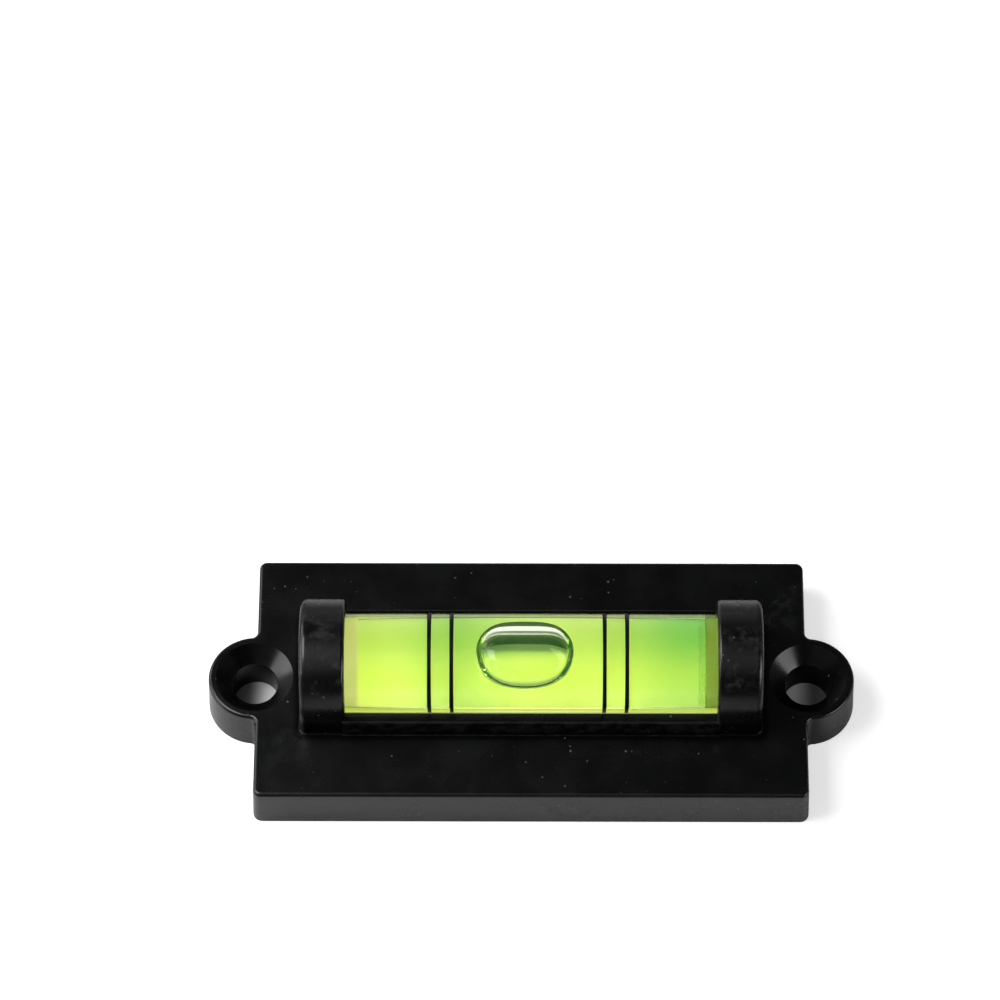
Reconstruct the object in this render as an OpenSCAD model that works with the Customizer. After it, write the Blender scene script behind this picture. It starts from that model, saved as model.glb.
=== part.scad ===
// Mini spirit level: a tubular vial in a moulded housing, fixed by two screws or by a foam pad
// The back face lies on z = 0, the long axis is X, and the window faces +Z

/* [Housing] */
// Length of the plate over its end walls, at the back
body_l = 45; // [44:0.5:60]
// Width of the plate, at the back
body_w = 22; // [18:0.5:40]
// Height of the plate, from the back face to its top face
body_h = 4.2; // [3:0.1:8]
// Thickness of the plate over the recess in its back
skin = 1.6; // [1.4:0.1:2.2]
// Thickness of the rim round the recess
rim = 1.6; // [1:0.1:2.4]
// Extra thickness of the long rims beside the four corners
rim_step = 0.12; // [0:0.02:0.4]
// Radius of the upright corners
corner_r = 0.75; // [0.7:0.05:3]
// Radius of the recess corners
recess_r = 0.6; // [0.2:0.05:2]
// Rounding of the top edges
edge_r = 0.3; // [0.1:0.05:0.4]
// Draft of the outer walls, in degrees
draft = 2; // [0:0.5:3]

/* [Screw ears] */
// Diameter of the screw hole
screw_d = 3.7; // [2.5:0.1:4.4]
// Diameter of the countersink mouth
head_d = 6.3; // [5:0.1:7]
// Full angle of the countersink, in degrees
head_angle = 95; // [82:1:100]
// Wall left round the countersink mouth
ear_wall = 0.75; // [0.6:0.05:2]
// Radius of the hollow between an ear and the end wall
ear_fillet = 0.45; // [0.2:0.05:1]
// Wall of the boss round the screw hole, inside the recess
boss_wall = 0.95; // [0.5:0.05:1.2]

/* [Vial] */
// Outside diameter of the vial
vial_d = 8; // [6.5:0.1:12]
// Length of the vial
vial_l = 35; // [26:0.5:35.5]
// Bore diameter at the middle of the barrel
bore_d = 5; // [4:0.1:5.6]
// How much the bore radius falls towards its ends
bore_bow = 0.1; // [0.04:0.01:0.2]
// Thickness of the closed end
vial_end = 3.6; // [1:0.1:5]
// Length of the plug in the open end
plug_l = 3.5; // [1.5:0.1:5]
// Step from the bore to the wider seat of the plug
plug_step = 0.25; // [0.1:0.05:0.5]
// Length of the cement fillet inside the plug
cement_l = 0.8; // [0.3:0.1:1.5]

/* [Saddle] */
// Wall of the end arches
arch_wall = 1.05; // [0.8:0.05:2]
// Length of vial that each arch covers
arch_lip = 2.5; // [1.5:0.1:4]
// Rounding of the outer end of an arch
arch_end_r = 0.5; // [0.1:0.05:0.6]
// Rounding of the arch edge beside the window
arch_lip_r = 0.3; // [0.1:0.05:0.4]
// Rounding of the trough walls' top edges
trough_edge_r = 0.15; // [0.05:0.05:0.3]
// Height of the vial axis over the top of the trough walls
trough_drop = 0.5; // [0.2:0.1:1.5]
// Radius of the hollow corner where the saddle stands on the plate
foot_r = 0.2; // [0.1:0.05:0.4]
// Clearance round the vial under the arches
arch_gap = 0.1; // [0.05:0.05:0.4]
// Clearance between the vial and the trough walls
trough_gap = 0.3; // [0.1:0.05:0.5]
// Thickness of the trough walls
trough_t = 0.95; // [0.7:0.05:1.5]
// How far the trough walls run on along the arches' sides
trough_lap = 0.25; // [0.1:0.05:0.6]
// Clearance at each end of the vial
end_gap = 0.1; // [0.05:0.05:0.5]

/* [Marks and bubble] */
// Distance between the inner pair of marks, middle to middle
mark_gap = 12.3; // [9:0.1:16]
// Distance from an inner mark to its outer mark
mark_pitch = 1.8; // [1:0.1:3]
// Width of a mark
mark_w = 0.3; // [0.15:0.05:0.6]
// Thickness of a mark's ink
mark_t = 0.04; // [0.02:0.01:0.08]
// Place of the marks' middle along the vial
mark_x = -0.25; // [-1:0.05:1]
// Length of the bubble
bubble_l = 7.9; // [5:0.1:9]
// Width of the bubble
bubble_w = 4.2; // [3:0.1:4.4]
// Height of the bubble, from its flat bottom up to the bore
bubble_h = 2.35; // [1.8:0.05:3.1]
// Height of the bubble's widest line over the vial axis
bubble_rise = 1.3; // [0.8:0.05:1.6]
// Place of the bubble along the vial when the level lies at rest
bubble_x = -0.5; // [-3:0.1:3]

/* [Foam pad] */
// Thickness of the release liner
liner_t = 0.1; // [0.05:0.01:0.2]
// Thickness of each coat of adhesive
glue_t = 0.05; // [0.02:0.01:0.1]
// Clearance between the pad and the rim
pad_gap = 0.1; // [0.05:0.05:0.4]
// Clearance between a boss and the pad's round notch
notch_gap = 0.6; // [0.2:0.1:1]

/* [Hidden] */
MARKS = ["mark_outer_left", "mark_inner_left", "mark_inner_right", "mark_outer_right"];
$fn = 96;

// Clearance of the plug in its seat, and of the liquid in the bore
fit_gap = 0.03;
// Liquid film between the bubble and what is round it
film = 0.05;
// How far a cut runs past the face it leaves
over = 1;
// How far a raised part is rooted in what carries it
root = 0.5;
// Share of its radius by which a hollow corner cuts past the faces it joins, so that they cross cleanly
lap = 0.02;

recess_h = body_h - skin;
recess_l = body_l - 2 * rim;
recess_w = body_w - 2 * rim;

screw_r = screw_d / 2;
head_r = head_d / 2;
head_h = (head_r - screw_r) / tan(head_angle / 2);
ear_r = head_r + ear_wall;
boss_r = screw_r + boss_wall;
notch_r = boss_r + notch_gap;

vial_r = vial_d / 2;
vial_z = recess_h + mark_t + vial_r;
bore_r = bore_d / 2;
cavity_a = vial_end - vial_l / 2;
cavity_b = vial_l / 2 - plug_l;
cavity_mid = (cavity_a + cavity_b) / 2;
cavity_half = (cavity_b - cavity_a) / 2;
plug_r = bore_r - bore_bow + plug_step;
bubble_top = bore_r - bore_bow - film;

arch_r = vial_r + arch_gap + arch_wall;
pocket_half = vial_l / 2 + end_gap;
arch_in = vial_l / 2 - arch_lip;
arch_out = pocket_half + arch_wall;
trough_r = vial_r + trough_gap;
trough_out = trough_r + trough_t;
trough_half = arch_in + trough_lap;
trough_z = vial_z - trough_drop;

// Bore radius at place x: a barrel, so that the bubble rises to its middle
function barrel_r(x) = bore_r - bore_bow * pow((x - cavity_mid) / cavity_half, 2);

// Side of a drafted part of radius r at the back, up to its rounded top edge
module post_side(r) {
    mid_r = r - (body_h - edge_r) * tan(draft) - edge_r / cos(draft);
    mid_z = body_h - edge_r;
    intersection() {
        square([r, body_h]);
        union() {
            square([mid_r, body_h]);
            translate([mid_r, mid_z]) circle(edge_r);
            polygon([[0, 0], [r, 0], [mid_r + edge_r * cos(draft), mid_z + edge_r * sin(draft)],
                [mid_r, mid_z], [0, mid_z]]);
        }
    }
}

// Space that a hollow of radius r takes beside drafted walls, flared over their rounded top edge
module hollow_side(r) {
    mid_r = r + (body_h - edge_r) * tan(draft) + edge_r / cos(draft);
    mid_z = body_h - edge_r;
    difference() {
        polygon([[0, -over], [r, -over], [r, 0],
            [mid_r - edge_r * cos(draft), mid_z + edge_r * sin(draft)], [mid_r, body_h],
            [mid_r, body_h + over], [0, body_h + over]]);
        translate([mid_r, mid_z]) circle(edge_r);
    }
}

// Plate with drafted walls, rounded corners and a rounded top edge
module plate() {
    hull()
        for (x = [-1, 1], y = [-1, 1])
            translate([x * (body_l / 2 - corner_r), y * (body_w / 2 - corner_r), 0])
                rotate_extrude($fn = 32) post_side(corner_r, $fn = 32);
}

// Round ear about a screw hole on the end wall
module ear() {
    rotate_extrude() post_side(ear_r);
    for (side = [0, 1]) mirror([0, side, 0]) ear_web();
}

// Filling between the ear and the end wall, hollowed to a fillet
module ear_web() {
    hollow_x = ear_fillet * (1 - lap);
    hollow_y = sqrt(pow(ear_r + hollow_x, 2) - pow(hollow_x, 2));
    touch = ear_r / (ear_r + ear_fillet);
    difference() {
        linear_extrude(body_h)
            polygon([[-root, 0], [hollow_x * touch, hollow_y * touch], [0, hollow_y], [-root, hollow_y]]);
        translate([hollow_x, hollow_y, 0]) rotate_extrude() hollow_side(ear_fillet);
    }
}

// Places what lies at the +X screw hole at both ends
module at_ends() {
    for (turn = [0, 180]) rotate(turn) translate([body_l / 2, 0, 0]) children();
}

// Hole and countersink for one screw
module screw_cut() {
    translate([0, 0, -over]) cylinder(h = body_h + 2 * over, r = screw_r);
    translate([0, 0, body_h - head_h]) cylinder(h = head_h, r1 = screw_r, r2 = head_r);
    translate([0, 0, body_h]) cylinder(h = over, r = head_r);
}

// Rounded rectangle about the origin
module rounded(l, w, r) {
    square([l - 2 * r, w], center = true);
    square([l, w - 2 * r], center = true);
    for (x = [-1, 1], y = [-1, 1]) translate([x * (l / 2 - r), y * (w / 2 - r)]) circle(r);
}

// Recess in the back, with thicker rims beside the corners and a boss left round each screw
module recess_cut() {
    difference() {
        union() {
            translate([0, 0, -over]) linear_extrude(recess_h + over)
                rounded(recess_l, recess_w - 2 * rim_step, recess_r);
            translate([-pocket_half, -recess_w / 2, -over])
                cube([2 * pocket_half, recess_w, recess_h + over]);
        }
        at_ends() boss();
    }
}

// Tapered boss round a screw hole
module boss() {
    translate([0, 0, -2 * over]) cylinder(h = 2 * over, r = boss_r);
    cylinder(h = recess_h, r1 = boss_r, r2 = boss_r + recess_h * tan(draft));
    translate([0, 0, recess_h]) cylinder(h = over, r = boss_r + recess_h * tan(draft));
}

// Section of an arch: radius along x, place along the vial along y
module arch_side() {
    difference() {
        translate([0, arch_in]) square([arch_r, arch_out - arch_in]);
        translate([arch_r, arch_out]) rotate(180) corner_cut(arch_end_r);
        translate([arch_r, arch_in]) rotate(90) corner_cut(arch_lip_r);
    }
}

// What comes off a square corner at the origin to round it
module corner_cut(r) {
    difference() {
        translate([-over, -over]) square(r + over);
        translate([r, r]) circle(r);
        translate([r, -2 * over]) square(2 * over + r);
        translate([-2 * over, r]) square(2 * over + r);
    }
}

// Arch over one end of the vial: half a turn over the axis, on straight sides
module arch() {
    translate([0, 0, vial_z]) rotate([90, 0, 90]) rotate_extrude(angle = 180) arch_side();
    translate([0, 0, body_h - root]) linear_extrude(vial_z - body_h + root)
        rotate(-90) {
            arch_side();
            mirror([1, 0]) arch_side();
        }
}

// Side wall of the open trough between the arches
module trough_wall() {
    rotate([90, 0, 90]) linear_extrude(2 * trough_half, center = true)
        difference() {
            translate([trough_r, body_h - root]) square([trough_t, trough_z - body_h + root]);
            translate([trough_out, trough_z]) rotate(180) corner_cut(trough_edge_r);
            translate([trough_r, trough_z]) rotate(-90) corner_cut(trough_edge_r);
        }
}

// Section of the foot: a hollow corner outside a wall whose face lies arch_end_r from the origin
module foot_side() {
    foot = foot_r * (1 - lap);
    difference() {
        translate([0, -root]) square([arch_end_r + foot, root + foot]);
        translate([arch_end_r + foot, foot]) circle(foot_r);
    }
}

// Foot that runs round one arch and along one trough wall
module saddle_foot() {
    mid_x = arch_out - arch_end_r;
    mid_y = arch_r - arch_end_r;
    translate([0, 0, body_h]) {
        translate([mid_x, mid_y, 0]) rotate_extrude(angle = 90) foot_side();
        translate([mid_x, -mid_y, 0]) rotate(-90) rotate_extrude(angle = 90) foot_side();
        translate([mid_x, mid_y, 0]) rotate([90, 0, 0]) linear_extrude(2 * mid_y) foot_side();
        for (side = [0, 1]) mirror([0, side, 0])
            translate([arch_in, mid_y, 0]) rotate([90, 0, 90]) linear_extrude(mid_x - arch_in) foot_side();
        translate([-trough_half, trough_out - arch_end_r, 0])
            rotate([90, 0, 90]) linear_extrude(2 * trough_half) foot_side();
    }
}

// Space for the vial, open to the back and, between the arches, to the front
module pocket_cut() {
    slot_r = vial_r + arch_gap;
    translate([0, 0, vial_z]) rotate([0, 90, 0]) cylinder(h = 2 * pocket_half, r = slot_r, center = true);
    translate([-pocket_half, -slot_r, recess_h - over])
        cube([2 * pocket_half, 2 * slot_r, vial_z - recess_h + over]);
    translate([-arch_in, -trough_r, recess_h - over])
        cube([2 * arch_in, 2 * trough_r, arch_r + vial_z]);
}

// One black moulding: plate, rim, ears, bosses, trough and arches
module housing() {
    color([0.09, 0.09, 0.095])
        difference() {
            union() {
                plate();
                at_ends() ear();
                for (turn = [0, 180]) rotate(turn) {
                    arch();
                    trough_wall();
                    saddle_foot();
                }
            }
            recess_cut();
            pocket_cut();
            at_ends() screw_cut();
        }
}

// Turns a section of radius and place along the vial into a solid about the vial axis
module about_vial() {
    translate([0, 0, vial_z]) rotate([90, 0, 90]) rotate_extrude() children();
}

// Section of the barrel bore, smaller by gap
module barrel(gap = 0) {
    steps = 16;
    a = cavity_a + gap;
    b = cavity_b - gap;
    edge = [for (i = [0:steps]) let (x = a + (b - a) * i / steps) [barrel_r(x) - gap, x]];
    polygon(concat([[0, a]], edge, [[0, b]]));
}

// Clear tube with one closed end, a barrel bore and a seat for the plug
module vial_body() {
    color([0.86, 0.93, 0.82, 0.35])
        about_vial()
            difference() {
                translate([0, -vial_l / 2]) square([vial_r, vial_l]);
                barrel();
                translate([0, cavity_b]) square([plug_r + fit_gap, plug_l + over]);
            }
}

// Plug that closes the open end
module vial_plug() {
    color([0.62, 0.68, 0.25, 0.7])
        about_vial() translate([0, cavity_b]) square([plug_r, plug_l]);
}

// Section of the cement fillet in the corner between the bore and the plug
module cement_side(gap = 0) {
    corner = barrel_r(cavity_b) - cement_l;
    difference() {
        translate([corner - gap, cavity_b - cement_l - gap])
            square([cement_l + gap - fit_gap, cement_l + gap]);
        translate([corner - gap, cavity_b - cement_l - gap]) circle(cement_l - gap);
    }
}

// Ring of cement that seals the plug
module plug_cement() {
    color([0.8, 0.85, 0.5, 0.7]) about_vial() cement_side();
}

// Bubble form, larger by gap: a spindle that lies against the bore and has a flat bottom
module bubble_form(gap = 0) {
    half_l = bubble_l / 2 + gap;
    half_w = bubble_w / 2 + gap;
    side = [for (t = [0:7.5:180]) [half_w * sin(t), half_l * cos(t)]];
    translate([bubble_x, 0, vial_z])
        intersection() {
            translate([0, 0, bubble_rise]) rotate([90, 0, 90]) rotate_extrude() polygon(side);
            rotate([0, 90, 0]) cylinder(h = 2 * half_l + over, r = bubble_top + gap, center = true);
            translate([-half_l - over, -half_w - over, bubble_top - bubble_h - gap])
                cube([2 * (half_l + over), 2 * (half_w + over), bubble_h + 2 * over]);
        }
}

// Coloured liquid that fills the bore round the bubble
module spirit() {
    color([0.72, 0.95, 0.25, 0.6])
        difference() {
            about_vial()
                difference() {
                    barrel(fit_gap);
                    cement_side(fit_gap);
                }
            bubble_form(film);
        }
}

// Air bubble
module bubble() {
    color([0.93, 0.97, 0.85, 0.5]) bubble_form();
}

// Printed line round the vial, numbered from the left
module mark(i) {
    out = mark_gap / 2 + mark_pitch;
    x = mark_x + [-out, -mark_gap / 2, mark_gap / 2, out][i];
    color([0.03, 0.03, 0.03])
        about_vial() translate([vial_r, x - mark_w / 2]) square([mark_t, mark_w]);
}

// Die-cut outline that the pad, its adhesive and its liner share
module pad_outline() {
    difference() {
        union() {
            rounded(recess_l - 2 * pad_gap, recess_w - 2 * (rim_step + pad_gap), recess_r);
            square([2 * (pocket_half - pad_gap), recess_w - 2 * pad_gap], center = true);
        }
        for (x = [-1, 1]) translate([x * body_l / 2, 0]) circle(notch_r);
    }
}

// Foam core of the mounting pad
module foam_pad() {
    color([0.95, 0.95, 0.93])
        translate([0, 0, liner_t + glue_t])
            linear_extrude(recess_h - liner_t - 2 * glue_t) pad_outline();
}

// Adhesive that holds the pad to the recess floor and the vial in its pocket
module front_adhesive() {
    color([0.9, 0.9, 0.84]) translate([0, 0, recess_h - glue_t]) linear_extrude(glue_t) pad_outline();
}

// Adhesive for the wall
module back_adhesive() {
    color([0.9, 0.9, 0.84]) translate([0, 0, liner_t]) linear_extrude(glue_t) pad_outline();
}

// Paper liner, peeled off before use
module release_liner() {
    color([0.98, 0.98, 0.98]) linear_extrude(liner_t) pad_outline();
}

housing();
vial_body();
vial_plug();
plug_cement();
spirit();
bubble();
for (i = [0:3]) mark(i);
foam_pad();
front_adhesive();
back_adhesive();
release_liner();
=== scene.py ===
import math

import bmesh
import bpy
from mathutils import Matrix, Vector


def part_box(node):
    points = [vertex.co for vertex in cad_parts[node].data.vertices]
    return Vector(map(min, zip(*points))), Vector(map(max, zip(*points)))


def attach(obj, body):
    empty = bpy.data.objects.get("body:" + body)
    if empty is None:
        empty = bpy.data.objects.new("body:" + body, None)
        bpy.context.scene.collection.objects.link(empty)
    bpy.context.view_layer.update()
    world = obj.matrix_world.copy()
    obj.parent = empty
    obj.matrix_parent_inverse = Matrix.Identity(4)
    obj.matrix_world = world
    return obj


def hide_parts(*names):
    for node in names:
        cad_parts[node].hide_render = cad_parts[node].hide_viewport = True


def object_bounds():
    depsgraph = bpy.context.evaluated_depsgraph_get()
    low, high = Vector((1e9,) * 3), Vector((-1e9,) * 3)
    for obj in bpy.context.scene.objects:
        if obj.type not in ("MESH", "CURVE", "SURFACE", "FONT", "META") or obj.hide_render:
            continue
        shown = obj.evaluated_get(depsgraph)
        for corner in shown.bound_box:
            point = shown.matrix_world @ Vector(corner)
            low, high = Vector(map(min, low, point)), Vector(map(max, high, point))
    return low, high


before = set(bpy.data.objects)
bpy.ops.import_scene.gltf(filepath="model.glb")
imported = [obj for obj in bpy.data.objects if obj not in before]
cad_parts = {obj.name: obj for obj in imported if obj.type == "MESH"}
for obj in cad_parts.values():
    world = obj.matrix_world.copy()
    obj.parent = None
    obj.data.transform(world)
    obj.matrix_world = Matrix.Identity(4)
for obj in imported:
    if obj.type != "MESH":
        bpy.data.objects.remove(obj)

MM = 0.001
cad_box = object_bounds()

# Sizes read from the frame

vial_low, vial_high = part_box("vial_body")
spirit_low, spirit_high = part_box("spirit")
bubble_low, bubble_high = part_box("bubble")
plug_low, plug_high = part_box("vial_plug")
pad_low, pad_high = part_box("foam_pad")

VIAL_R = (vial_high.z - vial_low.z) / 2
AXIS_Z = (vial_high.z + vial_low.z) / 2
SEAT_R = (plug_high.z - plug_low.z) / 2
SPIRIT_R = (spirit_high.z - spirit_low.z) / 2
# The upper part of the vial and of the arches starts at the vial's axis and counts in full from here
UPPER_Z = AXIS_Z + VIAL_R / 2

# Bore of the vial: gap round the spirit, loss of radius toward both ends, radius at the middle, and
# where the cavity starts and ends
BORE_GAP = 0.03 * MM
BORE_BOW = 0.1 * MM
BORE_R = SPIRIT_R + BORE_GAP
CAVITY_A = spirit_low.x - BORE_GAP
CAVITY_B = plug_low.x

# Optical densities of what the vial holds and is made of
ACRYLIC_IOR = 1.49
SPIRIT_IOR = 1.46


# Node building

# Noise lies almost wholly between these two values
NOISE_LOW = 0.3
NOISE_HIGH = 0.7


def put(tree, value, socket):
    """Links an output to a socket, or writes a plain value into it."""
    if hasattr(value, "is_output"):
        tree.links.new(value, socket)
    else:
        socket.default_value = value


def make(tree, kind, **settings):
    """A shader node. Names that start with in_ are its inputs, and the others its properties."""
    node = tree.nodes.new("ShaderNode" + kind)
    for name, value in settings.items():
        if name.startswith("in_"):
            put(tree, value, node.inputs[name[3:].replace("_", " ")])
        else:
            setattr(node, name, value)
    return node


def maths(tree, operation, *values, clamp=False):
    """Result of a calculation with one or two values."""
    node = make(tree, "Math", operation=operation, use_clamp=clamp)
    for value, socket in zip(values, node.inputs):
        put(tree, value, socket)
    return node.outputs[0]


def plus(tree, a, b, clamp=False):
    return maths(tree, "ADD", a, b, clamp=clamp)


def minus(tree, a, b):
    return maths(tree, "SUBTRACT", a, b)


def times(tree, product, *others):
    for other in others:
        product = maths(tree, "MULTIPLY", product, other)
    return product


def larger(tree, a, b):
    return maths(tree, "MAXIMUM", a, b)


def unsigned(tree, value):
    return maths(tree, "ABSOLUTE", value)


def smooth_step(tree, value, low, high, out_low=0.0, out_high=1.0):
    """Value carried smoothly from one span to another, and held at its ends."""
    node = make(tree, "MapRange", interpolation_type="SMOOTHSTEP", in_Value=value, in_From_Min=low,
                in_From_Max=high, in_To_Min=out_low, in_To_Max=out_high)
    return node.outputs[0]


def fade(tree, value, start, end):
    """1 up to one value and 0 from another, with a smooth change between."""
    return smooth_step(tree, value, start, end, 1.0, 0.0)


def uneven(tree, noise, least, most):
    """Value that follows a noise between a least and a most."""
    return smooth_step(tree, noise, NOISE_LOW, NOISE_HIGH, least, most)


def mix_colour(tree, factor, a, b):
    """First colour at factor 0 and second colour at factor 1."""
    node = make(tree, "Mix", data_type="RGBA", in_Factor=factor)
    for value, name in ((a, "A"), (b, "B")):
        socket = next(s for s in node.inputs if s.name == name and s.type == "RGBA")
        put(tree, value if hasattr(value, "is_output") else (*value, 1.0), socket)
    return next(s for s in node.outputs if s.type == "RGBA")


def noise_at(tree, place, size, detail=2.0, roughness=0.5):
    """Noise of a given grain size, from 0 to 1."""
    scale = maths(tree, "DIVIDE", 1.0, size) if hasattr(size, "is_output") else 1.0 / size
    node = make(tree, "TexNoise", in_Vector=place, in_Scale=scale, in_Detail=detail, in_Roughness=roughness)
    return node.outputs["Fac"]


def parts(tree, vector):
    """The X, Y and Z of a place or a direction."""
    return make(tree, "SeparateXYZ", in_Vector=vector).outputs


def new_group(name, inputs, outputs):
    """A node group with named sockets, and its input and output nodes."""
    tree = bpy.data.node_groups.new(name, "ShaderNodeTree")
    for label, kind, value in inputs:
        socket = tree.interface.new_socket(name=label, in_out="INPUT", socket_type="NodeSocket" + kind)
        if value is not None:
            socket.default_value = value
    for label, kind in outputs:
        tree.interface.new_socket(name=label, in_out="OUTPUT", socket_type="NodeSocket" + kind)
    return tree, tree.nodes.new("NodeGroupInput").outputs, tree.nodes.new("NodeGroupOutput").inputs


def use(tree, group, **values):
    """A placed group, with its inputs linked or set."""
    node = tree.nodes.new("ShaderNodeGroup")
    node.node_tree = group
    for name, value in values.items():
        put(tree, value, node.inputs[name.replace("_", " ")])
    return node.outputs


# Shared effects

# Pointiness of a face is 0.5 where it is flat, less in inner corners and more on outer edges. Wear
# begins and is full at the first two values, and the painted shade of inner corners begins and is full at
# the others
WORN_FROM = 0.52
WORN_FULL = 0.6
CORNER_FROM = 0.49
CORNER_FULL = 0.42


def make_grain():
    """Fine moulded or coated grain with softer blotches under it."""
    tree, given, out = new_group(
        "fine grain",
        [("Place", "Vector", None), ("Grain", "Float", 0.15 * MM), ("Blotch", "Float", 3 * MM)],
        [("Height", "Float"), ("Blotches", "Float")],
    )
    blotch_height = 0.5
    fine = noise_at(tree, given["Place"], given["Grain"], detail=3.0, roughness=0.6)
    broad = noise_at(tree, given["Place"], given["Blotch"], detail=4.0, roughness=0.55)
    put(tree, plus(tree, fine, times(tree, broad, blotch_height)), out["Height"])
    put(tree, broad, out["Blotches"])
    return tree


def make_specks():
    """Sparse specks of dust: a few of the cells of a point pattern, each with its own size."""
    tree, given, out = new_group(
        "dust specks",
        [("Place", "Vector", None), ("Spacing", "Float", 0.6 * MM), ("Size", "Float", 0.07 * MM),
         ("Share", "Float", 0.15)],
        [("Specks", "Float")],
    )
    least_size = 0.35
    least_strength = 0.25
    scale = maths(tree, "DIVIDE", 1.0, given["Spacing"])
    cells = make(tree, "TexVoronoi", feature="F1", in_Vector=given["Place"], in_Scale=scale).outputs
    chance = make(tree, "SeparateColor", in_Color=cells["Color"]).outputs
    chosen = maths(tree, "LESS_THAN", chance["Red"], given["Share"])
    reach = maths(tree, "DIVIDE", given["Size"], given["Spacing"])
    reach = times(tree, reach, plus(tree, chance["Green"], least_size))
    near = fade(tree, cells["Distance"], 0.0, reach)
    strength = plus(tree, times(tree, chance["Blue"], 1.0 - least_strength), least_strength)
    put(tree, times(tree, near, chosen, strength), out["Specks"])
    return tree


def make_edge_wear():
    """Mask of broken lines along sharp outside edges."""
    tree, given, out = new_group(
        "edge wear",
        [("Place", "Vector", None), ("Break size", "Float", 0.8 * MM)],
        [("Wear", "Float")],
    )
    edge = smooth_step(tree, make(tree, "NewGeometry").outputs["Pointiness"], WORN_FROM, WORN_FULL)
    breaks = noise_at(tree, given["Place"], given["Break size"], detail=3.0, roughness=0.6)
    put(tree, times(tree, edge, smooth_step(tree, breaks, low=0.4, high=0.65)), out["Wear"])
    return tree


GRAIN = make_grain()
SPECKS = make_specks()
WEAR = make_edge_wear()


# Materials

def new_material(name, **plain):
    """A material with one Principled shader whose plain values are set."""
    material = bpy.data.materials.new(name)
    material.use_nodes = True
    tree = material.node_tree
    tree.nodes.clear()
    surface = make(tree, "BsdfPrincipled")
    for label, value in plain.items():
        surface.inputs[label.replace("_", " ")].default_value = value
    put(tree, surface.outputs[0], make(tree, "OutputMaterial").inputs["Surface"])
    return material, tree, surface.inputs


def object_place(tree):
    return make(tree, "TexCoord").outputs["Object"]


def bump(tree, height, depth, socket):
    """Turns a height of 0 to 1 into a relief of a given depth."""
    put(tree, make(tree, "Bump", in_Height=height, in_Distance=depth).outputs[0], socket)


def absorb(tree, colour, density):
    """Colours light by the length of its way through the piece."""
    inside = make(tree, "VolumeAbsorption", in_Color=(*colour, 1.0), in_Density=density)
    output = next(node for node in tree.nodes if node.type == "OUTPUT_MATERIAL")
    put(tree, inside.outputs[0], output.inputs["Volume"])


def grained(tree, surface, place, grain, blotch, rough, depth):
    """Grain and a roughness that changes in blotches. Returns the blotches, for the colour."""
    found = use(tree, GRAIN, Place=place, Grain=grain, Blotch=blotch)
    put(tree, uneven(tree, found["Blotches"], *rough), surface["Roughness"])
    bump(tree, found["Height"], depth, surface["Normal"])
    return found["Blotches"]


# Housing: shades of the plastic itself, of rubbed edges, of smudges on the arches and of dust
PLASTIC_SHADES = ((0.0006, 0.0008, 0.0010), (0.0018, 0.0020, 0.0022))
RUBBED_SHADE = (0.02, 0.021, 0.022)
SMUDGE_SHADE = (0.022, 0.022, 0.023)
DUST_SHADE = (0.25, 0.26, 0.26)
RUBBED_STRENGTH = 0.5
# Roughness of the plastic, how much smoother its rubbed edges are, and how much rougher dust is
PLASTIC_ROUGH = (0.22, 0.30)
RUBBED_SMOOTHER = 0.08
DUST_ROUGHER = 0.4
PLASTIC_RELIEF = 0.003 * MM
# Sheen on open faces, and the share of it that is left in sharp inner corners, where the rest is taken away
# as painted shade
PLASTIC_SHEEN = 0.5
CORNER_SHADED_SHEEN = 0.5
# Foot of the saddle, which is the trough and the arches: height of the plate, half length and half
# width of the saddle, the share of the sheen that is taken away round its foot as painted shade, and
# the spans off the saddle and above the plate over which that painted shade fades
PLATE_TOP = 4.2 * MM
SADDLE_HALF_L = 18.65 * MM
SADDLE_HALF_W = 5.25 * MM
FOOT_SHADE = 0.75
FOOT_NEAR = 0.2 * MM
FOOT_FAR = 0.8 * MM
FOOT_LOW = PLATE_TOP + 1.5 * MM
FOOT_HIGH = PLATE_TOP + 2.1 * MM


def painted_foot_shade(tree, at):
    """Mask of painted shade close round the foot of the saddle, where little light reaches."""
    past_end = larger(tree, minus(tree, unsigned(tree, at["X"]), SADDLE_HALF_L), 0.0)
    past_side = larger(tree, minus(tree, unsigned(tree, at["Y"]), SADDLE_HALF_W), 0.0)
    squares = plus(tree, maths(tree, "POWER", past_end, 2.0), maths(tree, "POWER", past_side, 2.0))
    beside = fade(tree, maths(tree, "SQRT", squares), FOOT_NEAR, FOOT_FAR)
    return times(tree, beside, fade(tree, at["Z"], FOOT_LOW, FOOT_HIGH))


def housing_dust(tree, place, raised):
    """Specks of dust: in patches on the plate, and all over the arches."""
    specks = use(tree, SPECKS, Place=place, Spacing=0.45 * MM, Size=0.11 * MM, Share=0.1)["Specks"]
    patches = smooth_step(tree, noise_at(tree, place, 7 * MM, detail=1.0), low=0.48, high=0.62, out_low=0.15)
    return times(tree, specks, larger(tree, patches, raised))


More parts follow.
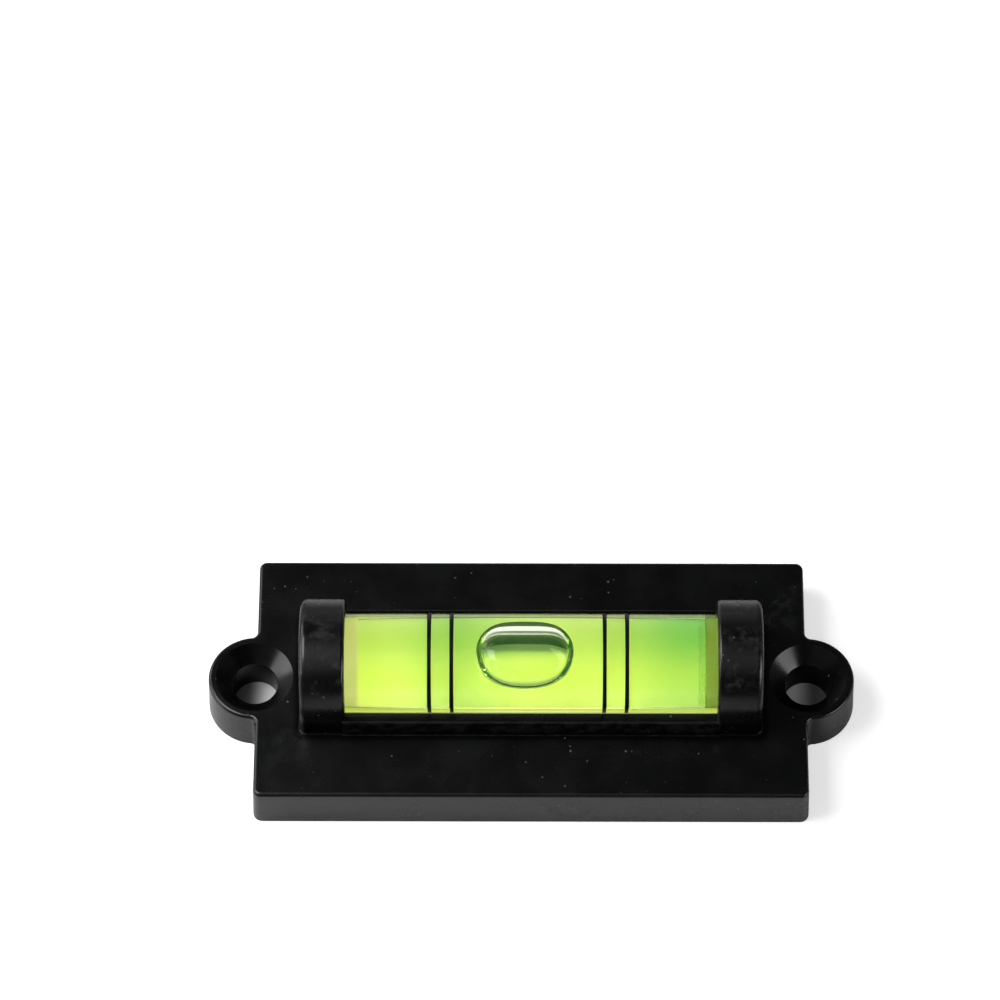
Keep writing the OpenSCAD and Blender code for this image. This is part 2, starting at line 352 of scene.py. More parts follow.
def housing_plastic():
    """Black moulded plastic: satin, finely grained, with a little dust and rubbed edges, and with its sheen
    dimmed as painted shade in inner corners and round the saddle's foot.
    """
    material, tree, surface = new_material("housing_plastic")
    place = object_place(tree)
    at = parts(tree, place)
    grain = use(tree, GRAIN, Place=place, Grain=0.12 * MM, Blotch=4 * MM)
    wear = use(tree, WEAR, Place=place)["Wear"]
    raised = smooth_step(tree, at["Z"], AXIS_Z, UPPER_Z)
    dust = housing_dust(tree, place, raised)
    spots = noise_at(tree, place, 1.6 * MM, detail=4.0, roughness=0.7)
    smudge = times(tree, raised, smooth_step(tree, spots, low=0.5, high=0.72))
    colour = mix_colour(tree, grain["Blotches"], *PLASTIC_SHADES)
    colour = mix_colour(tree, times(tree, wear, RUBBED_STRENGTH), colour, RUBBED_SHADE)
    colour = mix_colour(tree, smudge, colour, SMUDGE_SHADE)
    put(tree, mix_colour(tree, dust, colour, DUST_SHADE), surface["Base Color"])
    rough = uneven(tree, grain["Blotches"], *PLASTIC_ROUGH)
    rough = minus(tree, rough, times(tree, wear, RUBBED_SMOOTHER))
    put(tree, plus(tree, rough, times(tree, dust, DUST_ROUGHER), clamp=True), surface["Roughness"])
    # Painted shade: the sheen is dimmed in sharp inner corners and round the saddle's foot, where little
    # light reaches
    pointed = make(tree, "NewGeometry").outputs["Pointiness"]
    corner = smooth_step(tree, pointed, CORNER_FULL, CORNER_FROM, out_low=CORNER_SHADED_SHEEN)
    lit = minus(tree, 1.0, times(tree, painted_foot_shade(tree, at), FOOT_SHADE))
    put(tree, times(tree, corner, lit, PLASTIC_SHEEN), surface["Specular IOR Level"])
    bump(tree, plus(tree, grain["Height"], dust), PLASTIC_RELIEF, surface["Normal"])
    return material


# Acrylic: its tints, the painted shade of its upper edges, colour and strength of the painted glow of
# its lower edges, and how far from square a face is seen where an edge begins and is full
ACRYLIC_TINTS = ((0.96, 0.98, 0.88), (0.98, 0.995, 0.92))
EDGE_PAINTED_SHADE = (0.21, 0.25, 0.31)
EDGE_COLOUR = (0.66, 0.84, 0.12)
EDGE_PAINTED_GLOW = 0.68
EDGE_START = 0.565
EDGE_FULL = 0.605


def acrylic():
    """Clear moulded acrylic, faintly tinted, with a painted shade on its upper edges and a painted glow on
    its lower edges, both by how square the face is seen.
    """
    material, tree, surface = new_material(
        "vial_acrylic", Transmission_Weight=1.0, IOR=ACRYLIC_IOR, Specular_IOR_Level=0.5)
    place = object_place(tree)
    grain = use(tree, GRAIN, Place=place, Grain=0.5 * MM, Blotch=2.5 * MM)
    rough = smooth_step(tree, grain["Blotches"], low=0.35, high=0.75, out_high=0.02)
    put(tree, rough, surface["Roughness"])
    bump(tree, grain["Height"], depth=0.0006 * MM, socket=surface["Normal"])
    low = fade(tree, parts(tree, place)["Z"], AXIS_Z, UPPER_Z)
    # Painted shade darkens the upper edges and painted glow lights the lower edges, by how square the face
    # is seen
    facing = make(tree, "LayerWeight", in_Blend=0.5).outputs["Facing"]
    edge = smooth_step(tree, facing, EDGE_START, EDGE_FULL)
    shaded_high_edge = times(tree, edge, minus(tree, 1.0, low))
    tint = mix_colour(tree, grain["Blotches"], *ACRYLIC_TINTS)
    put(tree, mix_colour(tree, shaded_high_edge, tint, EDGE_PAINTED_SHADE), surface["Base Color"])
    surface["Emission Color"].default_value = (*EDGE_COLOUR, 1.0)
    put(tree, times(tree, low, edge, EDGE_PAINTED_GLOW), surface["Emission Strength"])
    return material


def bore_face():
    """Inside of the bore, where acrylic meets spirit, so it bends light only a little."""
    material, tree, surface = new_material(
        "vial_bore", Transmission_Weight=1.0, IOR=ACRYLIC_IOR / SPIRIT_IOR, Base_Color=(1, 1, 1, 1))
    grain = use(tree, GRAIN, Place=object_place(tree), Grain=0.8 * MM, Blotch=3 * MM)
    rough = smooth_step(tree, grain["Blotches"], low=0.4, high=0.8, out_high=0.03)
    put(tree, rough, surface["Roughness"])
    return material


def seam_face():
    """Seat of the plug, wetted by cement, so it nearly vanishes."""
    material, tree, surface = new_material(
        "vial_seam", Transmission_Weight=1.0, IOR=1.0, Base_Color=(0.95, 0.96, 0.8, 1))
    haze = noise_at(tree, object_place(tree), 0.7 * MM, detail=4.0, roughness=0.6)
    rough = smooth_step(tree, haze, low=0.35, high=0.8, out_low=0.02, out_high=0.25)
    put(tree, rough, surface["Roughness"])
    return material


# Spirit: colour of the light that it lets through, how strongly it takes the rest in each metre, and
# the colours and strength of its painted glow, which stands in for the fluorescence of the dye
DYE_COLOUR = (0.82, 0.98, 0.0)
DYE_DENSITY = 150.0
PAINTED_DYE_GLOWS = ((0.22, 1.0, 0.26), (0.30, 1.0, 0.28))
PAINTED_SPIRIT_GLOW = 0.035
# Faint tints of the faces of clear liquid
LIQUID_TINTS = ((0.97, 0.99, 0.95), (0.99, 1.0, 0.98))


def dyed_spirit():
    """Yellow-green dyed spirit with a faint painted glow in place of the fluorescence of the dye."""
    material, tree, surface = new_material(
        "dyed_spirit", Transmission_Weight=1.0, IOR=1.0, Roughness=0.0, Emission_Strength=PAINTED_SPIRIT_GLOW)
    cloud = noise_at(tree, object_place(tree), 9 * MM)
    put(tree, mix_colour(tree, cloud, *LIQUID_TINTS), surface["Base Color"])
    put(tree, mix_colour(tree, cloud, *PAINTED_DYE_GLOWS), surface["Emission Color"])
    absorb(tree, DYE_COLOUR, DYE_DENSITY)
    return material


def bubble_air():
    """Face between spirit and air."""
    material, tree, surface = new_material(
        "bubble_air", Transmission_Weight=1.0, IOR=1.0 / SPIRIT_IOR, Roughness=0.0)
    film = noise_at(tree, object_place(tree), 2 * MM)
    put(tree, mix_colour(tree, film, *LIQUID_TINTS), surface["Base Color"])
    return material


def plug_acrylic():
    """Turned plug, a shade darker and hazier than the tube."""
    material, tree, surface = new_material("plug_acrylic", Transmission_Weight=1.0, IOR=1.0)
    haze = noise_at(tree, object_place(tree), 1.2 * MM, detail=3.0, roughness=0.6)
    put(tree, mix_colour(tree, haze, (0.48, 0.56, 0.29), (0.53, 0.61, 0.33)), surface["Base Color"])
    put(tree, uneven(tree, haze, least=0.16, most=0.24), surface["Roughness"])
    return material


def set_cement():
    """Set solvent cement: pale, half clear, with streaks across the vial."""
    material, tree, surface = new_material("set_cement", Transmission_Weight=0.94, IOR=1.0)
    stretch = make(tree, "Mapping", in_Vector=object_place(tree), in_Scale=(5.0, 1.0, 1.0))
    streak = noise_at(tree, stretch.outputs[0], 1.5 * MM, detail=4.0, roughness=0.65)
    put(tree, mix_colour(tree, streak, (0.86, 0.96, 0.74), (1.0, 1.0, 0.92)), surface["Base Color"])
    put(tree, uneven(tree, streak, least=0.1, most=0.4), surface["Roughness"])
    bump(tree, streak, depth=0.03 * MM, socket=surface["Normal"])
    return material


def ring_ink():
    """Black printed line with a fine uneven grain."""
    material, tree, surface = new_material("ring_ink", Specular_IOR_Level=0.12)
    blotches = grained(tree, surface, object_place(tree), grain=0.08 * MM, blotch=0.6 * MM,
                       rough=(0.3, 0.5), depth=0.004 * MM)
    ink = mix_colour(tree, blotches, (0.002, 0.003, 0.002), (0.006, 0.008, 0.005))
    put(tree, ink, surface["Base Color"])
    return material


def foam_white():
    """Closed-cell white foam."""
    material, tree, surface = new_material("foam_white", Specular_IOR_Level=0.2)
    cell_size = 0.25 * MM
    cells = make(tree, "TexVoronoi", feature="F1", in_Vector=object_place(tree), in_Scale=1.0 / cell_size)
    wall = smooth_step(tree, cells.outputs["Distance"], low=0.2, high=0.75)
    put(tree, mix_colour(tree, wall, (0.90, 0.90, 0.88), (0.80, 0.80, 0.77)), surface["Base Color"])
    rough = smooth_step(tree, wall, low=0.0, high=1.0, out_low=0.7, out_high=0.9)
    put(tree, rough, surface["Roughness"])
    bump(tree, wall, depth=0.03 * MM, socket=surface["Normal"])
    return material


# Adhesive film: size of its grain and blotches, roughness and depth of its relief
FILM = {"grain": 0.6 * MM, "blotch": 5 * MM, "rough": (0.25, 0.4), "depth": 0.01 * MM}


def tacky_film():
    """Acrylic adhesive film: white, smooth, with a faint orange peel."""
    material, tree, surface = new_material("tacky_film", Specular_IOR_Level=0.5)
    blotches = grained(tree, surface, object_place(tree), **FILM)
    put(tree, mix_colour(tree, blotches, (0.86, 0.86, 0.81), (0.90, 0.90, 0.86)), surface["Base Color"])
    return material


# Painted glow of the film under the vial, where the spirit lies over it: near and far side of its clear
# stretches and of its stretches of painted shade
PAINTED_GLOW_CLEAR = ((0.742, 0.781, 0.145), (0.452, 0.552, 0.163))
PAINTED_GLOW_SHADED = ((0.31, 0.43, 0.05), (0.0, 0.29, 0.06))
# Stretches of painted shade in the glow: middle, half width and depth of each
PAINTED_SHADE_STRETCHES = ((-6.0 * MM, 5.5 * MM, 0.55), (13.0 * MM, 9.0 * MM, 0.95))
# Painted glow under the closed end of the vial and under its plug, and half the width of the blend into each
PAINTED_GLOW_END = (0.50, 0.50, 0.12)
PAINTED_GLOW_PLUG = (0.33, 0.40, 0.09)
END_BLEND = 0.3 * MM
PLUG_BLEND = 0.2 * MM
# The glow is painted strongest in a stripe along the vial, where the vial would gather light. This much is
# left on its near and its far side
STRIPE_NEAR = 0.35
STRIPE_FAR = 0.1
# Spans across the pocket, along Y, where the stripe starts, where it ends, and where the colours of
# the near side turn into those of the far side
STRIPE_START = (-0.5 * VIAL_R, -0.25 * VIAL_R)
STRIPE_END = (0.70 * VIAL_R, 0.88 * VIAL_R)
FAR_COLOURS = (0.45 * VIAL_R, 0.82 * VIAL_R)
# Spans where the painted glow ends beside the vial and past its ends, and how much it changes along the way
GLOW_SIDE = (VIAL_R, 1.15 * VIAL_R)
GLOW_PAST = (vial_high.x, 1.05 * vial_high.x)
GLOW_WAVE = (0.94, 1.06)
# Whites of the film itself, and its painted colour under the vial, where the glow is painted
FILM_WHITES = ((0.84, 0.84, 0.74), (0.88, 0.88, 0.80))
FILM_LIT = (0.55, 0.72, 0.74)


def painted_pocket_glow(tree, at):
    """Colour of the painted glow by the place under the vial, with stretches of painted shade."""
    far = smooth_step(tree, at["Y"], *FAR_COLOURS)
    shade = 0.0
    for middle, half, depth in PAINTED_SHADE_STRETCHES:
        off = unsigned(tree, minus(tree, at["X"], middle))
        shade = plus(tree, shade, smooth_step(tree, off, 0.0, half, depth, 0.0))
    clear = mix_colour(tree, far, *PAINTED_GLOW_CLEAR)
    shaded = mix_colour(tree, far, *PAINTED_GLOW_SHADED)
    at_end = fade(tree, at["X"], CAVITY_A - END_BLEND, CAVITY_A + END_BLEND)
    at_plug = smooth_step(tree, at["X"], CAVITY_B - PLUG_BLEND, CAVITY_B + PLUG_BLEND)
    colour = mix_colour(tree, at_plug, mix_colour(tree, shade, clear, shaded), PAINTED_GLOW_PLUG)
    return mix_colour(tree, at_end, colour, PAINTED_GLOW_END)


def pocket_film_painted_glow():
    """The same film over the pad's front, with a painted glow and colour where the vial lies on it, in place
    of light through the dyed spirit.
    """
    material, tree, surface = new_material("pocket_film_painted_glow", Specular_IOR_Level=0.5)
    place = object_place(tree)
    at = parts(tree, place)
    blotches = grained(tree, surface, place, **FILM)
    beside = fade(tree, unsigned(tree, at["Y"]), *GLOW_SIDE)
    lit = times(tree, beside, fade(tree, unsigned(tree, at["X"]), *GLOW_PAST))
    white = mix_colour(tree, blotches, *FILM_WHITES)
    put(tree, mix_colour(tree, lit, white, FILM_LIT), surface["Base Color"])
    # Painted glow: the film gives off light by its place under the vial
    put(tree, painted_pocket_glow(tree, at), surface["Emission Color"])
    wave = uneven(tree, noise_at(tree, place, 5 * MM, detail=1.0, roughness=0.4), *GLOW_WAVE)
    near_side = smooth_step(tree, at["Y"], *STRIPE_START, STRIPE_NEAR, 1.0)
    far_side = smooth_step(tree, at["Y"], *STRIPE_END, 1.0, STRIPE_FAR)
    stripe = times(tree, near_side, far_side)
    put(tree, times(tree, lit, wave, stripe), surface["Emission Strength"])
    return material


def liner_paper():
    """Coated white release paper with a faint fibre and soft ripples."""
    material, tree, surface = new_material("liner_paper", Specular_IOR_Level=0.4)
    blotches = grained(tree, surface, object_place(tree), grain=0.2 * MM, blotch=6 * MM,
                       rough=(0.38, 0.52), depth=0.01 * MM)
    put(tree, mix_colour(tree, blotches, (0.86, 0.86, 0.85), (0.90, 0.90, 0.89)), surface["Base Color"])
    return material


# Meshes

# Steps of a turned piece round its axis, and of the bore along it
TURN_STEPS = 160
BORE_STEPS = 40
# Faces that meet at more than this many degrees keep a crisp edge: turned pieces, the pad, and the
# bubble, which has no edge
TURNED_EDGE = 30
PAD_EDGE = 35
NO_EDGE = 180
# Rounding of the tube's outer edges, and its steps
END_ROUND = 0.12 * MM
END_STEPS = 4


def join_rings(shape, rings, slots):
    """Faces between each ring of points and the next. A ring of one point closes an end."""
    for a, b, slot in zip(rings, rings[1:], slots):
        count = max(len(a), len(b))
        for i in range(count):
            j = (i + 1) % count
            corners = [a[i % len(a)], a[j % len(a)], b[j % len(b)], b[i % len(b)]]
            face = shape.faces.new(list(dict.fromkeys(corners)))
            face.material_index = slot


def finish_mesh(name, shape, materials, sharp):
    """Makes a smooth piece of a built shape, with crisp edges from an angle in degrees."""
    bmesh.ops.recalc_face_normals(shape, faces=shape.faces)
    mesh = bpy.data.meshes.new(name)
    shape.to_mesh(mesh)
    shape.free()
    for material in materials:
        mesh.materials.append(material)
    mesh.shade_smooth()
    mesh.set_sharp_from_angle(angle=math.radians(sharp))
    piece = bpy.data.objects.new(name, mesh)
    bpy.context.scene.collection.objects.link(piece)
    return piece


def lathe(name, outline, materials):
    """Turns an outline of (place along X, radius, material of the next strip) about the vial axis."""
    shape = bmesh.new()
    rings = []
    for x, radius, _ in outline:
        turns = [2 * math.pi * i / TURN_STEPS for i in range(TURN_STEPS if radius else 1)]
        rings.append([shape.verts.new((x, radius * math.sin(turn), AXIS_Z + radius * math.cos(turn)))
                      for turn in turns])
    join_rings(shape, rings, [slot for _, _, slot in outline])
    return finish_mesh(name, shape, materials, TURNED_EDGE)


def bore_radius(x):
    """Radius of the barrel bore, widest at the middle."""
    half = (CAVITY_B - CAVITY_A) / 2
    return BORE_R - BORE_BOW * ((x - (CAVITY_A + CAVITY_B) / 2) / half) ** 2


def rounded_corner(x, toward):
    """Points of a rounded outer edge of the tube, from its side to its end face."""
    points = []
    for i in range(END_STEPS + 1):
        turn = math.pi / 2 * i / END_STEPS
        inward = END_ROUND * (1 - math.sin(turn))
        points.append((x + toward * inward, VIAL_R - END_ROUND * (1 - math.cos(turn))))
    return points


def vial_tube():
    """Tube with a closed left end, rounded outer edges, a barrel bore and the plug's seat."""
    outside, bore, seam = 0, 1, 2
    left = rounded_corner(vial_low.x, 1)[::-1]
    right = rounded_corner(vial_high.x, -1)
    outline = [(vial_low.x, 0.0, outside)]
    outline += [(x, r, outside) for x, r in left + right]
    outline += [(vial_high.x, SEAT_R + BORE_GAP, seam), (CAVITY_B, SEAT_R + BORE_GAP, seam)]
    for i in range(BORE_STEPS + 1):
        x = CAVITY_B + (CAVITY_A - CAVITY_B) * i / BORE_STEPS
        outline.append((x, bore_radius(x), bore))
    outline.append((CAVITY_A, 0.0, bore))
    piece = lathe("vial_tube", outline, [acrylic(), bore_face(), seam_face()])
    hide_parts("vial_body")
    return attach(piece, "root")


def spirit_fill():
    """Spirit that fills the bore up to the plug. The bubble lies inside it."""
    gap = BORE_GAP / 3
    a, b = CAVITY_A + gap, CAVITY_B - gap
    outline = [(a, 0.0, 0)]
    for i in range(BORE_STEPS + 1):
        x = a + (b - a) * i / BORE_STEPS
        outline.append((x, bore_radius(x) - gap, 0))
    outline.append((b, 0.0, 0))
    piece = lathe("spirit_fill", outline, [dyed_spirit()])
    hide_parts("spirit")
    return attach(piece, "root")


# Steps of the bubble along it and round it
BUBBLE_RINGS = 64
BUBBLE_TURNS = 112
# Form of the bubble in cross section: half width on its far and its near side, and how square the
# outline of each side is seen from above, with 2 for an ellipse
BUBBLE_FAR_W = 2.34 * MM
BUBBLE_NEAR_W = 2.46 * MM
BUBBLE_FAR_OVAL = 2.3
BUBBLE_NEAR_OVAL = 2.0
# Height of the body below and above its widest line, and the power by which it thins toward its
# ends, where less is blunter
BUBBLE_LOWER = 1.33 * MM
BUBBLE_UPPER = 1.56 * MM
BUBBLE_THIN = 0.24
# Height of the widest line over the vial's axis, radius of the bore that the top is pressed against,
# and how firmly it is pressed
BUBBLE_RISE = 1.02 * MM
BUBBLE_TOP = 2.46 * MM
BUBBLE_PRESS = 14
# The whole bubble lies this much lower, which keeps it clear of the narrow ends of the bore
BUBBLE_CLEAR = 0.07 * MM


def bubble_reach(along, up, out):
    """Distance from the bubble's middle line to its face in one direction of a cross section."""
    high = (BUBBLE_UPPER if up > 0 else BUBBLE_LOWER) * (1 - along ** 2) ** BUBBLE_THIN
    power = BUBBLE_FAR_OVAL if out > 0 else BUBBLE_NEAR_OVAL
    wide = (BUBBLE_FAR_W if out > 0 else BUBBLE_NEAR_W) * (1 - abs(along) ** power) ** (1 / power)
    oval = 1 / math.hypot(out / wide, up / high)
    bore = math.sqrt(BUBBLE_TOP ** 2 - (BUBBLE_RISE * out) ** 2) - BUBBLE_RISE * up
    return oval / (1 + (oval / bore) ** BUBBLE_PRESS) ** (1 / BUBBLE_PRESS)


def air_bubble():
    """Air pressed against the bore."""
    half_l = (bubble_high.x - bubble_low.x) / 2
    mid_x = (bubble_high.x + bubble_low.x) / 2
    mid_z = AXIS_Z + BUBBLE_RISE - BUBBLE_CLEAR
    shape = bmesh.new()
    rings = [[shape.verts.new((mid_x - half_l, 0, mid_z))]]
    for i in range(1, BUBBLE_RINGS):
        along = -math.cos(math.pi * i / BUBBLE_RINGS)
        ring = []
        for j in range(BUBBLE_TURNS):
            turn = 2 * math.pi * j / BUBBLE_TURNS
            up, out = math.sin(turn), math.cos(turn)
            reach = bubble_reach(along, up, out)
            ring.append(shape.verts.new((mid_x + half_l * along, reach * out, mid_z + reach * up)))
        rings.append(ring)
    rings.append([shape.verts.new((mid_x + half_l, 0, mid_z))])
    join_rings(shape, rings, [0] * BUBBLE_RINGS)
    piece = finish_mesh("air_bubble", shape, [bubble_air()], NO_EDGE)
    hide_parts("bubble")
    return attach(piece, "bubble")


# Points of a CAD mesh that lie closer than this are one, and faces whose normal rises less than this
# stand upright
SAME_PLACE = 0.001 * MM
UPRIGHT = 0.5


def outline_of(node):
    """Outer loop of a flat die-cut CAD node, as points in order."""
    shape = bmesh.new()
    shape.from_mesh(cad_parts[node].data)
    bmesh.ops.remove_doubles(shape, verts=shape.verts, dist=SAME_PLACE)
    low = min(v.co.z for v in shape.verts)
    joined = {}
    for edge in shape.edges:
        if all(abs(v.co.z - low) < SAME_PLACE for v in edge.verts):
            sides = [f for f in edge.link_faces if abs(f.normal.z) < UPRIGHT]
            if len(sides) == 1 and len(edge.link_faces) == 2:
                a, b = (v.index for v in edge.verts)
                joined.setdefault(a, []).append(b)
                joined.setdefault(b, []).append(a)
    places = {v.index: v.co.xy.copy() for v in shape.verts}
    shape.free()
    start = min(joined)
    loop, last = [start], None
    while True:
        following = [n for n in joined[loop[-1]] if n != last]
        last = loop[-1]
        if following[0] == start:
            break
        loop.append(following[0])
    return [places[i] for i in loop]


# Sides of the pad: greatest distance inside the CAD outline, and the layers as the share of the
# pad's height and the share of that distance
PAD_ROUND = 0.12 * MM
PAD_LAYERS = ((0.0, 1.0), (0.25, 0.3), (0.5, 0.6), (0.75, 0.3), (1.0, 1.0))


def foam_block():
    """Foam core of the pad: die-cut sides, rounded toward both faces and dipping a little between."""
    loop = outline_of("foam_pad")
    area = sum(a.x * b.y - a.y * b.x for a, b in zip(loop, loop[1:] + loop[:1]))
    if area < 0:
        loop.reverse()
    shape = bmesh.new()
    rings = []
    for height, inset in PAD_LAYERS:
        ring = []
        for i, place in enumerate(loop):
            ahead = (loop[(i + 1) % len(loop)] - place).normalized()
            behind = (place - loop[i - 1]).normalized()
            inward = (Vector((-ahead.y, ahead.x)) + Vector((-behind.y, behind.x))).normalized()
            x, y = place + inward * (PAD_ROUND * inset)
            ring.append(shape.verts.new((x, y, pad_low.z + (pad_high.z - pad_low.z) * height)))
        rings.append(ring)
    join_rings(shape, rings, [0] * len(rings))
    shape.faces.new(rings[0][::-1])
    shape.faces.new(rings[-1])
    piece = finish_mesh("foam_block", shape, [foam_white()], PAD_EDGE)
    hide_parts("foam_pad")
    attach(piece, "root")
    return piece


def coat(node, material):
    """Gives a carried-over CAD node its finish."""
    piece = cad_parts[node]
    piece.data.materials.clear()
    piece.data.materials.append(material)


# Pieces

coat("housing", housing_plastic())
coat("vial_plug", plug_acrylic())
coat("plug_cement", set_cement())
ink = ring_ink()
for mark in ("mark_outer_left", "mark_inner_left", "mark_inner_right", "mark_outer_right"):
    coat(mark, ink)
coat("front_adhesive", pocket_film_painted_glow())
coat("back_adhesive", tacky_film())
coat("release_liner", liner_paper())
vial_tube()
spirit_fill()
air_bubble()
foam_block()


# Floor

# Side of the floor and how far it lies under the object
FLOOR_SIZE = 8.0
FLOOR_DROP = 0.01 * MM
# White of the floor, and the light that it gives of itself where it is the background
FLOOR_WHITE = 0.9
FLOOR_LIFT = 0.55
# Share of that white that reflections see off in front and behind, past these places along Y, a painted
# shade of the floor in reflections only
FLOOR_FAR = 0.3
FAR_START = 13 * MM
FAR_FULL = 22 * MM
# What shows through the screw holes: their place along X, radius of the patch of painted shade under
# each, and how much wider it is where its blend ends
HOLE_X = 22.5 * MM
HOLE_SHADE = 2.2 * MM
HOLE_BLEND = 1.2
# White of that patch of painted shade on the side of the plate and on the outer side, its own light as a
# share of the white, and the places along X, from the hole's middle outward, where the one turns into the
# other
HOLE_LIT = 0.6
HOLE_DARK = 0.08
HOLE_LIFT = 0.12
HOLE_INNER = -1.4 * MM
HOLE_OUTER = 0.8 * MM


def studio_floor():
    """Pale floor that keeps the object's shadow, lifted to white where it is the background, with painted
    shade under the screw holes and in reflections of the floor far off in front and behind.
    """
    material, tree, surface = new_material("studio_floor", Roughness=0.9, Specular_IOR_Level=0.0)
    path = make(tree, "LightPath").outputs
    at = parts(tree, object_place(tree))
    outward = minus(tree, unsigned(tree, at["X"]), HOLE_X)
    from_hole = make(tree, "CombineXYZ", in_X=outward, in_Y=at["Y"]).outputs[0]
    length = make(tree, "VectorMath", operation="LENGTH", in_Vector=from_hole).outputs["Value"]
    # Painted shade: a darker patch of floor under each screw hole
    open_floor = smooth_step(tree, length, HOLE_SHADE, HOLE_BLEND * HOLE_SHADE)
    patch = smooth_step(tree, outward, HOLE_INNER, HOLE_OUTER, HOLE_LIT, HOLE_DARK)
    aside = unsigned(tree, at["Y"])
    # Painted shade: reflections see the floor darker far off in front and behind
    far_white = smooth_step(tree, aside, FAR_START, FAR_FULL, FLOOR_WHITE, FLOOR_WHITE * FLOOR_FAR)
    loss = times(tree, path["Is Glossy Ray"], minus(tree, FLOOR_WHITE, far_white))
    white = larger(tree, patch, times(tree, open_floor, minus(tree, FLOOR_WHITE, loss)))
    put(tree, white, surface["Base Color"])
    seen = larger(tree, path["Is Camera Ray"], path["Is Transmission Ray"])
    lift = larger(tree, times(tree, patch, HOLE_LIFT), times(tree, open_floor, FLOOR_LIFT))
    surface["Emission Color"].default_value = (1.0, 1.0, 1.0, 1.0)
    put(tree, times(tree, seen, lift), surface["Emission Strength"])
    half = FLOOR_SIZE / 2
    level = cad_box[0].z - FLOOR_DROP
    corners = [(x, y, level) for x, y in ((-half, -half), (half, -half), (half, half), (-half, half))]
    mesh = bpy.data.meshes.new("floor")
    mesh.from_pydata(corners, [], [(0, 1, 2, 3)])
    mesh.materials.append(material)
    floor = bpy.data.objects.new("floor", mesh)
    bpy.context.scene.collection.objects.link(floor)


# Lamps and room

# Name, azimuth and elevation in degrees, distance, width and height in metres, and radiance.
# Azimuth 0 is in front of the object and 90 to its right
LAMPS = (
    ("key_box", -90, 60, 0.23, 0.14, 0.105, 6.6),
    ("left_box", -86, 19, 0.4, 0.3, 0.2, 3.2),
    ("left_back_box", -124, 28, 0.4, 0.12, 0.16, 3.0),
    ("right_box", 63, 21, 0.4, 0.27, 0.18, 3.6),
)
# Light of the room all round, of the wall behind the object, and of a pale spot over the viewer, with
# the way to that spot
ROOM_FRONT = 0.05
ROOM_BACK = 0.33
ROOM_SPOT = 0.38
SPOT_WAY = (-0.17, -0.38, 0.91)
# Strength of the room on its left and its right side
ROOM_LEFT = 1.5
ROOM_RIGHT = 0.45
# Share of the wall's light that is left close to the floor
WALL_FOOT = 0.45
# Spans of a direction over which the room changes: from front to wall, from the wall's foot to its
# full light, from there to its top, toward the pale spot, and from left to right
WALL_SPAN = (-0.2, 0.3)
FOOT_SPAN = (0.02, 0.3)
TOP_SPAN = (0.3, 0.85)
SPOT_SPAN = (0.86, 0.99)
SIDE_SPAN = (-0.5, 0.5)


def toward_place(azimuth, elevation):
    """Direction from the object to a place round it, from angles in radians."""
    return Vector((math.sin(azimuth) * math.cos(elevation), -math.cos(azimuth) * math.cos(elevation),
                   math.sin(elevation)))


def soft_box(name, azimuth, elevation, distance, width, height, radiance):
    """Rectangular lamp that faces the object."""
    away = toward_place(math.radians(azimuth), math.radians(elevation))
    lamp = bpy.data.lights.new(name, "AREA")
    lamp.shape = "RECTANGLE"
    lamp.size = width
    lamp.size_y = height
    lamp.energy = radiance * math.pi * width * height
    holder = bpy.data.objects.new(name, lamp)
    holder.location = away * distance
    holder.rotation_euler = away.to_track_quat("Z", "Y").to_euler()
    bpy.context.scene.collection.objects.link(holder)


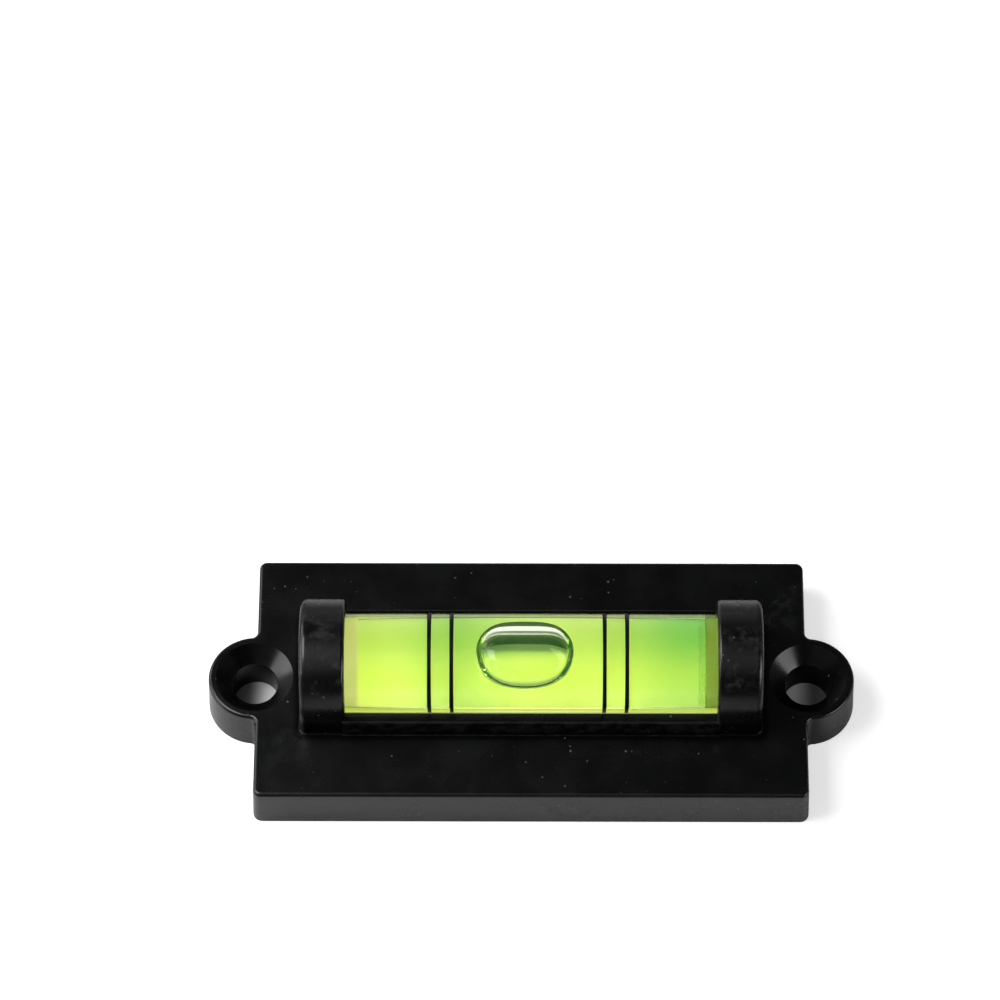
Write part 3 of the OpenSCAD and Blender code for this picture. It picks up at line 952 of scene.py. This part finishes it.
def studio_world():
    """Dim room, paler behind the object and over the viewer, and darker to the right."""
    world = bpy.data.worlds.new("studio")
    bpy.context.scene.world = world
    world.use_nodes = True
    tree = world.node_tree
    tree.nodes.clear()
    way = make(tree, "TexCoord").outputs["Generated"]
    toward = parts(tree, way)
    behind = smooth_step(tree, toward["Y"], *WALL_SPAN)
    top = smooth_step(tree, toward["Z"], *TOP_SPAN, ROOM_BACK, 0.0)
    foot = smooth_step(tree, toward["Z"], *FOOT_SPAN, WALL_FOOT, 1.0)
    wall = times(tree, behind, top, foot)
    match = make(tree, "VectorMath", operation="DOT_PRODUCT", in_Vector=way)
    match.inputs[1].default_value = SPOT_WAY
    spot = smooth_step(tree, match.outputs["Value"], *SPOT_SPAN, 0.0, ROOM_SPOT)
    side = smooth_step(tree, toward["X"], *SIDE_SPAN, ROOM_LEFT, ROOM_RIGHT)
    level = plus(tree, plus(tree, wall, spot), ROOM_FRONT)
    back = make(tree, "Background", in_Color=(1.0, 1.0, 1.0, 1.0), in_Strength=times(tree, level, side))
    put(tree, back.outputs[0], make(tree, "OutputWorld").inputs["Surface"])


# Camera

# It looks at a point of the floor from this distance, elevation and azimuth, and is turned a little
VIEW_TARGET = Vector((-2.639 * MM, 19.284 * MM, 0.0))
VIEW_DISTANCE = 440.526 * MM
VIEW_ELEVATION = math.radians(59.291)
VIEW_AZIMUTH = math.radians(0.670)
VIEW_ROLL = math.radians(-0.470)
# Width of the sensor and focal length in millimetres, and what lies near enough and far enough to show
SENSOR = 36.0
LENS = 189.0
SHOWN_FROM = 0.01
SHOWN_TO = 50.0


def camera():
    """Camera at the view given above."""
    away = toward_place(VIEW_AZIMUTH, VIEW_ELEVATION)
    right = Vector((math.cos(VIEW_AZIMUTH), math.sin(VIEW_AZIMUTH), 0.0))
    up = away.cross(right)
    turned_right = right * math.cos(VIEW_ROLL) + up * math.sin(VIEW_ROLL)
    turned_up = up * math.cos(VIEW_ROLL) - right * math.sin(VIEW_ROLL)
    data = bpy.data.cameras.new("camera")
    data.sensor_width = SENSOR
    data.lens = LENS
    data.clip_start = SHOWN_FROM
    data.clip_end = SHOWN_TO
    eye = bpy.data.objects.new("camera", data)
    turn = Matrix((turned_right, turned_up, away)).transposed().to_4x4()
    eye.matrix_world = Matrix.Translation(VIEW_TARGET + away * VIEW_DISTANCE) @ turn
    bpy.context.scene.collection.objects.link(eye)
    bpy.context.scene.camera = eye


studio_floor()
studio_world()
for lamp in LAMPS:
    soft_box(*lamp)
camera()

# Clear pieces inside one another need many bounces
CLEAR_BOUNCES = 32
GLOSSY_BOUNCES = 8

scene = bpy.context.scene
scene.view_settings.view_transform = "Standard"
scene.cycles.max_bounces = CLEAR_BOUNCES
scene.cycles.transmission_bounces = CLEAR_BOUNCES
scene.cycles.glossy_bounces = GLOSSY_BOUNCES
